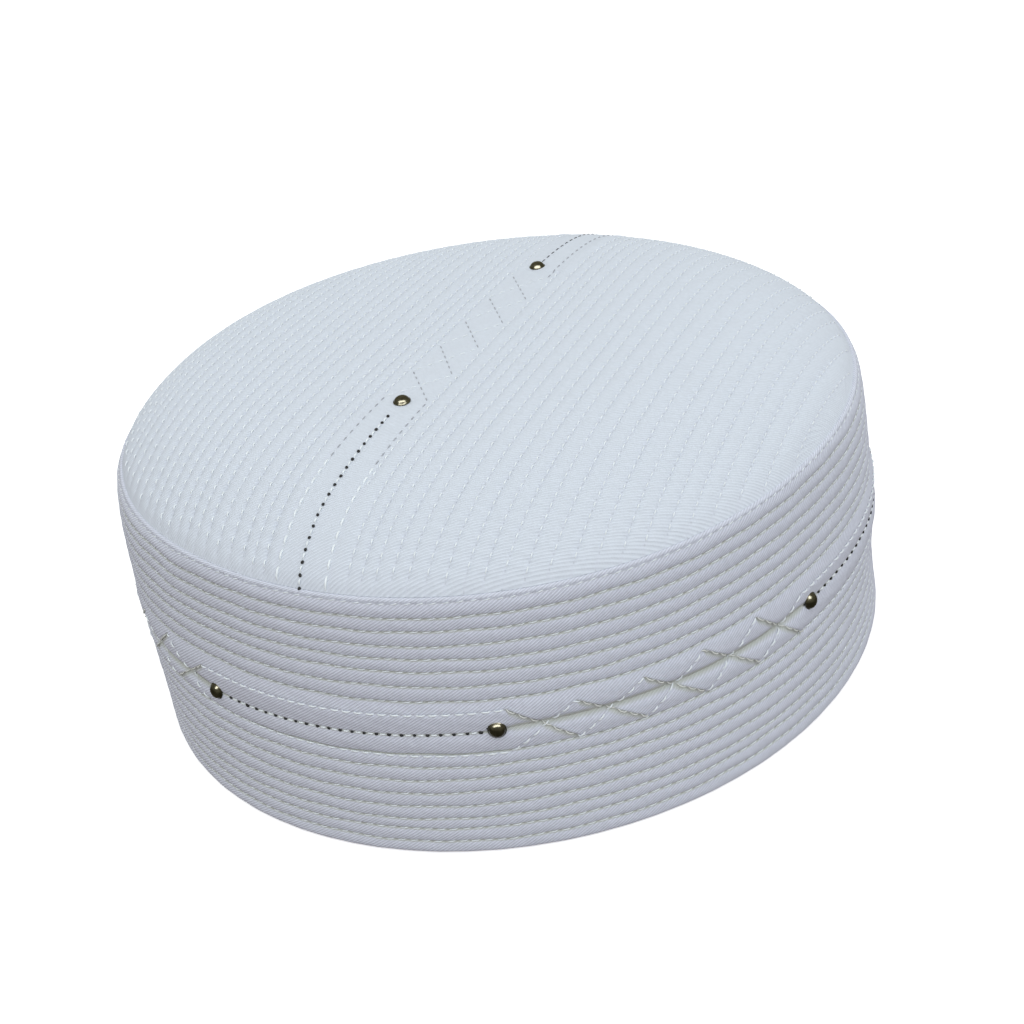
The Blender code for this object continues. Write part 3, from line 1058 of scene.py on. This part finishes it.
# %% Close the ends of the top
END_REACH, MERGE, FLAT_EDGE = 0.0008, 0.000002, 0.0000005
sheet = bmesh.new()
sheet.from_mesh(crown_mesh)
ends = [v for v in sheet.verts if abs(v.co.x) > HALF_X - END_REACH]
bmesh.ops.remove_doubles(sheet, verts=ends, dist=MERGE)
bmesh.ops.dissolve_degenerate(sheet, edges=sheet.edges, dist=FLAT_EDGE)
bmesh.ops.recalc_face_normals(sheet, faces=sheet.faces)
sheet.to_mesh(crown_mesh)
sheet.free()
crown = add_piece("crown_panel", crown_mesh, CROWN_TWILL, nodes=["crown_top"])

# %% [markdown]
# ## Stitches
# Each stitch is a short length of thread that comes up through one needle hole and goes down
# through the next. All the stitches of a seam are worked out together: stations along each
# stitch are put on the cloth, and a small ring of points is set round every station.

# %% Stitch builder
SIDES = 5
STATIONS = np.linspace(0, 1, 4)
RISE, SINK, TAPER = np.array([[0.0, 1.0, 1.0, 0.0], [1.2, 0.0, 0.0, 1.2], [0.55, 1.0, 1.0, 0.55]])


def strands(centres, up, radius):
    """Tubes along many short centre lines: centres and up are stitches by stations by three."""
    count, stations = centres.shape[:2]
    tangent = unit(np.gradient(centres, axis=1))
    side = unit(np.cross(tangent, up))
    lift = np.cross(side, tangent)
    turn = 2 * math.pi * np.arange(SIDES) / SIDES
    ring = side[:, :, None] * np.cos(turn)[:, None] + lift[:, :, None] * np.sin(turn)[:, None]
    points = centres[:, :, None] + ring * radius[..., None, None]
    base = (np.arange(count) * stations * SIDES)[:, None, None]
    s, k = np.meshgrid(np.arange(stations - 1), np.arange(SIDES), indexing="ij")
    here, beside = s * SIDES + k, s * SIDES + (k + 1) % SIDES
    corners = stacked(here, beside, beside + SIDES, here + SIDES)
    quads = (base + corners.reshape(1, -1, 4)).reshape(-1, 4)
    start = (base[:, 0] + np.arange(SIDES)[::-1]).reshape(-1, SIDES)
    end = (base[:, 0] + (stations - 1) * SIDES + np.arange(SIDES)).reshape(-1, SIDES)
    return mesh_from_faces(points, quads.tolist() + start.tolist() + end.tolist())


def joined(meshes):
    """Several meshes as one."""
    sheet = bmesh.new()
    for mesh in meshes:
        sheet.from_mesh(mesh)
        bpy.data.meshes.remove(mesh)
    result = bpy.data.meshes.new("joined")
    sheet.to_mesh(result)
    sheet.free()
    return result


def stitch_row(surface, path, starts, length, radius, lift, slant=0.0):
    """Stitches of one length, each from a start measured along a path, turned by a small slant."""
    where = starts[:, None] + length * STATIONS
    a, b = path(where)
    b = b + slant * (STATIONS - 0.5)
    up = normals(surface, a, b)
    centres = surface(a, b) + up * (lift * RISE - radius * SINK)[:, None]
    return strands(centres, up, np.broadcast_to(radius * TAPER, where.shape))


# %% Stitches of the band's seams
THREAD = 0.00012
HOLE_GAP = 0.00045
BAND_SLANT, BAND_LIFT, BAND_RAISE = 0.00030, 0.00016, 0.00004
JITTER = 0.00006


def seam_stitches(index):
    """One stitch between each two needle holes of a seam that runs all round."""
    step = ROUND / ROUND_STITCHES
    holes = (np.arange(ROUND_STITCHES) - WAVES[index, 0] % 1.0) * step
    starts = holes + HOLE_GAP / 2 + rng.normal(0, JITTER, ROUND_STITCHES)

    def path(where):
        return where, seam_height(index, where) + BAND_RAISE

    if index == UNDER_MOTIF:
        starts = starts[in_zigzag(starts + step / 2) > 0.5]
    length = step - HOLE_GAP
    return stitch_row(band_surface, path, starts, length, THREAD, BAND_LIFT, BAND_SLANT)


for name, first, last in (
    ("stitches_lower", 1, UNDER_MOTIF),
    ("stitches_upper", OVER_MOTIF, UNDER_RIM),
):
    seams = [seam_stitches(index) for index in range(first, last + 1)]
    add_piece(name, joined(seams), WHITE_THREAD)

# %% [markdown]
# The motif's stitched lines follow their corners. A path that turns is measured by its own
# length, so the stitches stay even on the slopes of the zigzag.

# %% Stitches of the motif
MOTIF_THREAD, MOTIF_LIFT, MOTIF_GAP = 0.00021, 0.00030, 0.00028
MOTIF_JITTER = 0.00007
CREASE_THREAD, CREASE_RAISE = 0.00015, 0.00026
CREASE_SLOPE, CREASE_LOOK = 0.3, np.array([0.3, 0.7])


def path_along(steps, a, b):
    """The steps' whole length, and a function from length to the two surface parameters."""
    length = np.concatenate([[0.0], np.cumsum(steps)])

    def path(where):
        return np.interp(where, length, a), np.interp(where, length, b)

    return length[-1], path


def even_stitches(corners):
    """The path along a line of corners, with the number and the step of its even stitches."""
    a, b = corners.T
    total, path = path_along(np.hypot(np.diff(a), np.diff(b)), a, b)
    count = int(round(total / STITCH))
    return path, count, total / count


def motif_stitches(line):
    """Stitches of one line: the open ones, and those that fall from the front into a crease, drawn
    in darker thread as painted shade.
    """
    path, count, step = even_stitches(np.concatenate([line, line[:1] + [[ROUND, 0.0]]]))
    length = step - MOTIF_GAP
    starts = np.arange(count) * step + MOTIF_GAP / 2 + rng.normal(0, MOTIF_JITTER, count)
    a, b = path(starts[:, None] + length * CREASE_LOOK)
    run, rise = a[:, 1] - a[:, 0], b[:, 1] - b[:, 0]
    shaded = rise * side_sign(a[:, 0]) < -CREASE_SLOPE * np.abs(run)

    def upper_path(where):
        a, b = path(where)
        return a, b + CREASE_RAISE

    return (
        stitch_row(band_surface, path, starts[~shaded], length, MOTIF_THREAD, MOTIF_LIFT),
        stitch_row(band_surface, upper_path, starts[shaded], length, CREASE_THREAD, MOTIF_LIFT),
    )


open_lines, shaded_lines = zip(*[motif_stitches(line) for line in (LINE_A, LINE_B)])
add_piece("stitches_motif", joined(open_lines), WHITE_THREAD)
add_piece("stitches_motif_shaded", joined(shaded_lines), SHADED_THREAD)

# %% [markdown]
# On the top every channel has its row, with thicker thread on the left. The strip's two lines
# are sewn in bold thread near the front edge and in fine thread elsewhere; their thread is painted
# grey as shade where a slope faces away from the light, in front of the front stud and on the right
# behind the back stud.

# %% Stitches of the top
CROWN_THREAD_LEFT, CROWN_THREAD_RIGHT = 0.00023, 0.00014
CROWN_GAP = 0.00062
CROWN_LIFT_LEFT, CROWN_LIFT_RIGHT = 0.00026, 0.00017
STRIP_STITCHES = {
    "bold": {"radius": 0.00027, "lift": 0.00022, "gap": 0.00045},
    "fine": {"radius": 0.00012, "lift": 0.00012, "gap": 0.00090},
    "grey": {"radius": 0.00013, "lift": 0.00012, "gap": 0.00080},
}
BOLD_FROM = -0.0590
CHANNEL_MARGIN = 0.0006
GREY_SLOPE, GREY_LOOK = 0.1, np.array([0.35, 0.65])


def crown_stitches(position):
    """Stitches along one channel seam, left out where the motif's own lines take over."""
    x, offset = crown_seams[position], SEAM_OFFSETS[position]
    half = HALF_Y * math.sqrt(1 - (x / HALF_X) ** 2) - CHANNEL_MARGIN
    first, last = math.ceil(offset - half / STITCH), math.floor(offset + half / STITCH)
    holes = (np.arange(first, last) - offset) * STITCH

    def path(where):
        return np.full(where.shape, x), where

    starts = holes + CROWN_GAP + rng.normal(0, JITTER, len(holes))
    starts = starts[sewn(position, starts + STITCH / 2) > 0.5]
    side = (x + HALF_X) / (2 * HALF_X)
    radius = between(CROWN_THREAD_LEFT, CROWN_THREAD_RIGHT, side)
    lift = between(CROWN_LIFT_LEFT, CROWN_LIFT_RIGHT, side)
    return stitch_row(crown_surface, path, starts, STITCH - 2 * CROWN_GAP, radius, lift)


channels = [crown_stitches(position) for position in range(len(crown_seams))]
add_piece("stitches_crown", joined(channels), WHITE_THREAD)


def strip_stitches(line, kind):
    """The stitches of one kind along a strip line: bold near the front edge, grey as painted shade
    on falling slopes, in front of the front stud and on the right behind the back stud.
    """
    path, count, step = even_stitches(line)
    a, b = path(np.arange(count)[:, None] * step + step * GREY_LOOK)
    across, ahead, y = a[:, 1] - a[:, 0], b[:, 1] - b[:, 0], b.mean(1)
    sizes = STRIP_STITCHES[kind]
    kinds = np.where(y < TOP_CORNERS[-1]["y"], "grey", "fine")
    kinds = np.where((y > TOP_CORNERS[0]["y"]) & (a[:, 0] > 0), "grey", kinds)
    kinds = np.where(across * ahead < -GREY_SLOPE * ahead**2, "grey", kinds)
    kinds = np.where(y < BOLD_FROM, "bold", kinds)
    starts = (np.arange(count) * step + sizes["gap"] / 2)[kinds == kind]
    length = step - sizes["gap"]
    return stitch_row(crown_surface, path, starts, length, sizes["radius"], sizes["lift"])


for name, kinds, material in (
    ("stitches_strip", ("bold", "fine"), WHITE_THREAD),
    ("stitches_strip_shaded", ("grey",), SHADE_GREY_THREAD),
):
    rows = [strip_stitches(line, kind) for line in (TOP_A, TOP_B) for kind in kinds]
    add_piece(name, joined(rows), material)

# %% [markdown]
# ## Dots
# The dots are where a black thread comes up between two white stitches. Each is a small bead
# pressed flat on the cloth, and a few are larger where the thread is doubled.

# %% Beads of black thread
BEAD_RINGS, BEAD_SIDES = 5, 8
DOT_LEAST, DOT_MOST, DOT_HIGH = 0.00036, 0.00044, 0.00030
DOT_LONG, DOT_WIDE, DOT_RAISE = 1.1, 0.95, 0.00014
DOT_SWING, DOT_STEP = 0.35, 0.0005
LARGE_SHARE, LARGE_SIZE = 0.18, 1.25
DOT_THREAD, DOT_LIFT, DOT_GAP = 0.00021, 0.00025, 0.0011


def turned_faces(rings, sides):
    """Faces between a first point, rings of points and a last point."""
    last = 1 + (rings - 2) * sides
    faces = []
    for k in range(sides):
        n = (k + 1) % sides
        faces.append([0, 1 + k, 1 + n])
        for low in range(1, last - sides, sides):
            faces.append([low + k, low + sides + k, low + sides + n, low + n])
        faces.append([last - sides + k, last, last - sides + n])
    return faces


def beads(centres, up, forward, sizes):
    """Squashed spheres at many places: half sizes forward, sideways and up for each."""
    polar = np.linspace(0, math.pi, BEAD_RINGS)[:, None]
    turn = 2 * math.pi * np.arange(BEAD_SIDES) / BEAD_SIDES
    shape = stacked(np.sin(polar) * np.cos(turn), np.sin(polar) * np.sin(turn), np.cos(polar))
    shape = shape.reshape(-1, 3)
    shape = np.concatenate([shape[:1], shape[BEAD_SIDES:-BEAD_SIDES], shape[-1:]])
    points = centres[:, None]
    for axis, size, share in zip((forward, np.cross(up, forward), up), sizes, shape.T):
        points = points + axis[:, None] * (share * size[:, None])[..., None]
    faces = turned_faces(BEAD_RINGS, BEAD_SIDES)
    firsts = range(0, len(centres) * len(shape), len(shape))
    faces = [[first + corner for corner in face] for first in firsts for face in faces]
    return mesh_from_faces(points, faces)


def dot_beads(surface, a, b, step):
    """Dots at surface places: most are 0.8 to 1 mm long, and every fifth or so is larger."""
    up = normals(surface, a, b)
    ahead = surface(a + step[0], b + step[1]) - surface(a, b)
    forward = unit(ahead - up * (ahead * up).sum(-1, keepdims=True))
    swing = rng.normal(0, DOT_SWING, len(a))[:, None]
    forward = unit(forward * np.cos(swing) + np.cross(up, forward) * np.sin(swing))
    size = rng.uniform(DOT_LEAST, DOT_MOST, len(a))
    size = np.where(rng.uniform(size=len(a)) < LARGE_SHARE, size * LARGE_SIZE, size)
    centres = surface(a, b) + up * DOT_RAISE
    sizes = (size * DOT_LONG, size * DOT_WIDE, np.full(len(a), DOT_HIGH))
    return beads(centres, up, forward, sizes)


# %% Dots and their white thread on the band
DOT_PITCH, DOT_END = 0.00288, 0.0035


def middle_path(where):
    """The line of dots: its height this far round."""
    return where, seam_height(MIDDLE, where)


dots, threads = [], []
for part, start in zip(MOTIF, RUN_STARTS):
    if part["run"] == "dots":
        room = part["length"] - part["first"] - DOT_END
        count = int(round(room / DOT_PITCH)) + 1
        places = start + part["first"] + np.arange(count) * room / (count - 1)
        dots.append(dot_beads(band_surface, *middle_path(places), (DOT_STEP, 0.0)))
        gaps, length = places[:-1] + DOT_GAP / 2, room / (count - 1) - DOT_GAP
        row = stitch_row(band_surface, middle_path, gaps, length, DOT_THREAD, DOT_LIFT)
        threads.append(row)
add_piece("dots_band", joined(dots), BLACK_THREAD)
add_piece("dot_thread_band", joined(threads), WHITE_THREAD)

# %% Dots of the top and the dark line behind the back stud
TOP_STUDS = {"stud_top_front": (0.0010, -0.0358), "stud_top_back": (0.0010, 0.0374)}
DOT_LINE = np.array([
    [0.0010, -0.0358], [0.0012, -0.0560], [0.0013, -0.0660], [0.0011, -0.0745], [0.0012, -0.0878]
])
BACK_LINE = np.array([[0.0011, 0.0398], [0.0014, 0.0600], [0.0014, 0.0876]])
TOP_DOTS, TOP_PITCH = 19, 0.00277
BACK_START, BACK_GAP, BACK_LIFT = 0.0002, 0.0003, 0.00006


def dome_path(corners):
    """The path along a line on the dome, measured on its slope."""
    fine = np.linspace(0, len(corners) - 1, 400)
    x, y = (np.interp(fine, np.arange(len(corners)), places) for places in corners.T)
    steps = np.linalg.norm(np.diff(tucked_dome(x, y), axis=0), axis=1)
    return path_along(steps, x, y)


total, dot_path = dome_path(DOT_LINE)
places = total - np.arange(TOP_DOTS) * TOP_PITCH
dots = dot_beads(crown_surface, *dot_path(places), (0.0, DOT_STEP))
add_piece("dots_top", dots, BLACK_THREAD)
gaps, length = places[1:] + DOT_GAP / 2, TOP_PITCH - DOT_GAP
threads = stitch_row(crown_surface, dot_path, gaps, length, DOT_THREAD, DOT_LIFT)
add_piece("dot_thread_top", threads, WHITE_THREAD)
total, back_path = dome_path(BACK_LINE)
starts = np.arange(int(total / STITCH)) * STITCH + BACK_START
threads = stitch_row(crown_surface, back_path, starts, STITCH - BACK_GAP, THREAD, BACK_LIFT)
add_piece("dark_line_top", threads, BLACK_THREAD)

# %% [markdown]
# ## Studs
# A stud is a domed head over a thin collar. It is turned: a profile of radius and height is
# carried round its own axis, and the whole is stood on the cloth along the cloth's normal.

# %% Studs
STUD_PROFILE = table(
    "radius height",
    (0.00000, 0.00138),
    (0.00045, 0.00135),
    (0.00085, 0.00126),
    (0.00120, 0.00110),
    (0.00148, 0.00088),
    (0.00170, 0.00061),
    (0.00185, 0.00036),
    (0.00194, 0.00026),
    (0.00203, 0.00022),
    (0.00206, 0.00017),
    (0.00206, 0.00004),
    (0.00190, -0.00012),
    (0.00000, -0.00012),
)
STUD_SIDES = 32
STUD_STEP = (0.001, 0.0)
KNOT_TURNS, KNOT_SWING = np.array([95.0, 172.0]), 12
KNOT_OUT, KNOT_SINK, KNOT_SIZES = 0.0021, 0.0001, np.array([0.00034, 0.00026])


def stud(point, up, forward):
    """The profile turned about the cloth's normal, with its two poles closed by triangles."""
    side = np.cross(up, forward)
    radius, height = column(STUD_PROFILE, "radius"), column(STUD_PROFILE, "height")
    turn = 2 * math.pi * np.arange(STUD_SIDES) / STUD_SIDES
    outward = np.cos(turn)[:, None] * forward + np.sin(turn)[:, None] * side
    rings = point + radius[1:-1, None, None] * outward + height[1:-1, None, None] * up
    ends = point + height[[0, -1], None] * up
    points = np.concatenate([ends[:1], rings.reshape(-1, 3), ends[1:]])
    return mesh_from_faces(points, turned_faces(len(radius), STUD_SIDES))


def place_stud(node, surface, a, b):
    """Stand a stud on the cloth and tuck two black thread ends under its collar."""
    a, b = np.array([a]), np.array([b])
    up = normals(surface, a, b)[0]
    point = surface(a, b)[0]
    ahead = surface(a + STUD_STEP[0], b + STUD_STEP[1])[0] - point
    forward = unit(ahead - up * ahead.dot(up))
    name = node.replace("stud_", "dome_")
    add_piece(name, stud(point, up, forward), METAL, [node])
    turns = np.radians(rng.uniform(-KNOT_SWING, KNOT_SWING) + KNOT_TURNS)
    outward = np.cos(turns)[:, None] * forward + np.sin(turns)[:, None] * np.cross(up, forward)
    centres = point + outward * KNOT_OUT - up * KNOT_SINK
    return beads(centres, np.array([up, up]), outward, [KNOT_SIZES] * 3)


knots = [place_stud(node, dome, x, y) for node, (x, y) in TOP_STUDS.items()]
for number, (part, start) in enumerate(zip(MOTIF, RUN_STARTS), start=1):
    knots.append(place_stud(f"stud_side_{number}", wall, start, part["height"]))
add_piece("stud_knots", joined(knots), BLACK_THREAD)

# %% [markdown]
# ## Floor and light
# The cap stands on a white floor. A pale sky lights the cloth from all sides, more from above than
# from below, with one weak soft lamp to its right. The metal mirrors a darker room and one wide
# card of light overhead, as a photographer would hold it, so that the studs stay dark with a
# bright crescent. The floor is kept out of the light on the cap, so that undersides stay in shade.

# %% Floor
FLOOR_HALF, FLOOR_Z = 3.0, -0.0001


def white_floor():
    """Matt white that glows a little, so that the floor comes out as white as the paper."""
    n = Nodes(bpy.data.materials.new("floor_white"))
    colour = n.mix(n.noise(2.0), (0.93, 0.93, 0.93), (0.95, 0.95, 0.95))
    glow = (1.0, 1.0, 1.0, 1.0)
    return n.finish(Base_Color=colour, Roughness=0.9, Emission_Color=glow, Emission_Strength=0.45)


corners = [(-1, -1), (1, -1), (1, 1), (-1, 1)]
points = np.array([(FLOOR_HALF * u, FLOOR_HALF * v, FLOOR_Z) for u, v in corners])
floor = put_in_scene("floor", mesh_from_faces(points, [(0, 1, 2, 3)]))
floor.data.materials.append(white_floor())
floor.visible_diffuse = False
floor.visible_glossy = False
print("floor", 2 * FLOOR_HALF, "metres square")

# %% Lights
SKY, GROUND = (0.944, 0.972, 0.962), (0.226, 0.194, 0.212)
SKY_TILT, HORIZON = 0.16, 0.15
MIRROR_SKY, MIRROR_GROUND = (0.34, 0.32, 0.22), (0.10, 0.09, 0.05)
KEY = {"watts": 1.5, "wide": 0.6, "high": 0.6, "round": 55.0, "up": 52.0, "distance": 1.2}
KEY_COLOUR = (0.88, 0.98, 1.20)
CARD = {"watts": 21.0, "wide": 1.5, "high": 0.40, "round": 32.0, "up": 57.0, "distance": 1.0}
LAMP_TARGET = Vector((0, 0, 0.05))


def studio_sky():
    """A pale world, brighter above a tilted horizon than below, and much darker in mirrored rays."""
    n = Nodes(bpy.data.worlds.new("studio"))
    x, _, z = n.parts(n.add("ShaderNodeTexCoord").outputs["Generated"])
    share = n.ramp(n.math("MULTIPLY_ADD", x, SKY_TILT, z), -HORIZON, HORIZON, easing="LINEAR")
    mirrored = n.add("ShaderNodeLightPath").outputs["Is Glossy Ray"]
    seen, reflected = n.mix(share, GROUND, SKY), n.mix(share, MIRROR_GROUND, MIRROR_SKY)
    n.link(n.mix(mirrored, seen, reflected), n.tree.nodes["Background"].inputs["Color"])
    return n.owner


def direction(turn, rise):
    """Unit vector so many degrees round from the front and so many degrees up."""
    turn, rise = math.radians(turn), math.radians(rise)
    across, ahead = math.sin(turn), -math.cos(turn)
    return Vector((across * math.cos(rise), ahead * math.cos(rise), math.sin(rise)))


def studio_lamp(name, sizes):
    """A soft lamp on a sphere round the cap, turned to face it."""
    data = bpy.data.lights.new(name, "AREA")
    data.shape = "RECTANGLE"
    data.energy = sizes["watts"]
    data.size = sizes["wide"]
    data.size_y = sizes["high"]
    lamp = put_in_scene(name, data)
    lamp.location = sizes["distance"] * direction(sizes["round"], sizes["up"])
    lamp.rotation_euler = (lamp.location - LAMP_TARGET).to_track_quat("Z", "Y").to_euler()
    return lamp


bpy.context.scene.world = studio_sky()
key = studio_lamp("key", KEY)
key.visible_glossy = False
key.data.color = KEY_COLOUR
card = studio_lamp("card", CARD)
card.visible_diffuse = False
bpy.context.scene.view_settings.view_transform = "Standard"
print("key", KEY, "card", CARD)

# %% [markdown]
# ## Camera
# The camera stands 32 degrees round from the front, anticlockwise seen from above, and 30 degrees
# up. It leans sideways by 10 degrees.

# %% Camera
CAMERA_TARGET, CAMERA_DISTANCE = Vector((0.0, 0.0, 0.0323)), 0.4016
CAMERA_ROUND, CAMERA_UP, CAMERA_ROLL = 31.64, 29.51, -10.19
LENS, SENSOR = 54.18, 36.0
SHIFT_X, SHIFT_Y = 0.0113, -0.0081

back = direction(CAMERA_ROUND, CAMERA_UP)
turn, roll = math.radians(CAMERA_ROUND), math.radians(CAMERA_ROLL)
level = Vector((math.cos(turn), math.sin(turn), 0.0))
upright = back.cross(level)
right = level * math.cos(roll) + upright * math.sin(roll)
above = upright * math.cos(roll) - level * math.sin(roll)
turned = Matrix((right, above, back)).transposed().to_4x4()
camera_data = bpy.data.cameras.new("camera")
camera_data.lens = LENS
camera_data.sensor_width = SENSOR
camera_data.shift_x, camera_data.shift_y = SHIFT_X, SHIFT_Y
camera_data.clip_start = 0.01
camera = put_in_scene("camera", camera_data)
camera.matrix_world = Matrix.Translation(CAMERA_TARGET + back * CAMERA_DISTANCE) @ turned
bpy.context.scene.camera = camera
print("camera at", [round(v, 3) for v in camera.location])
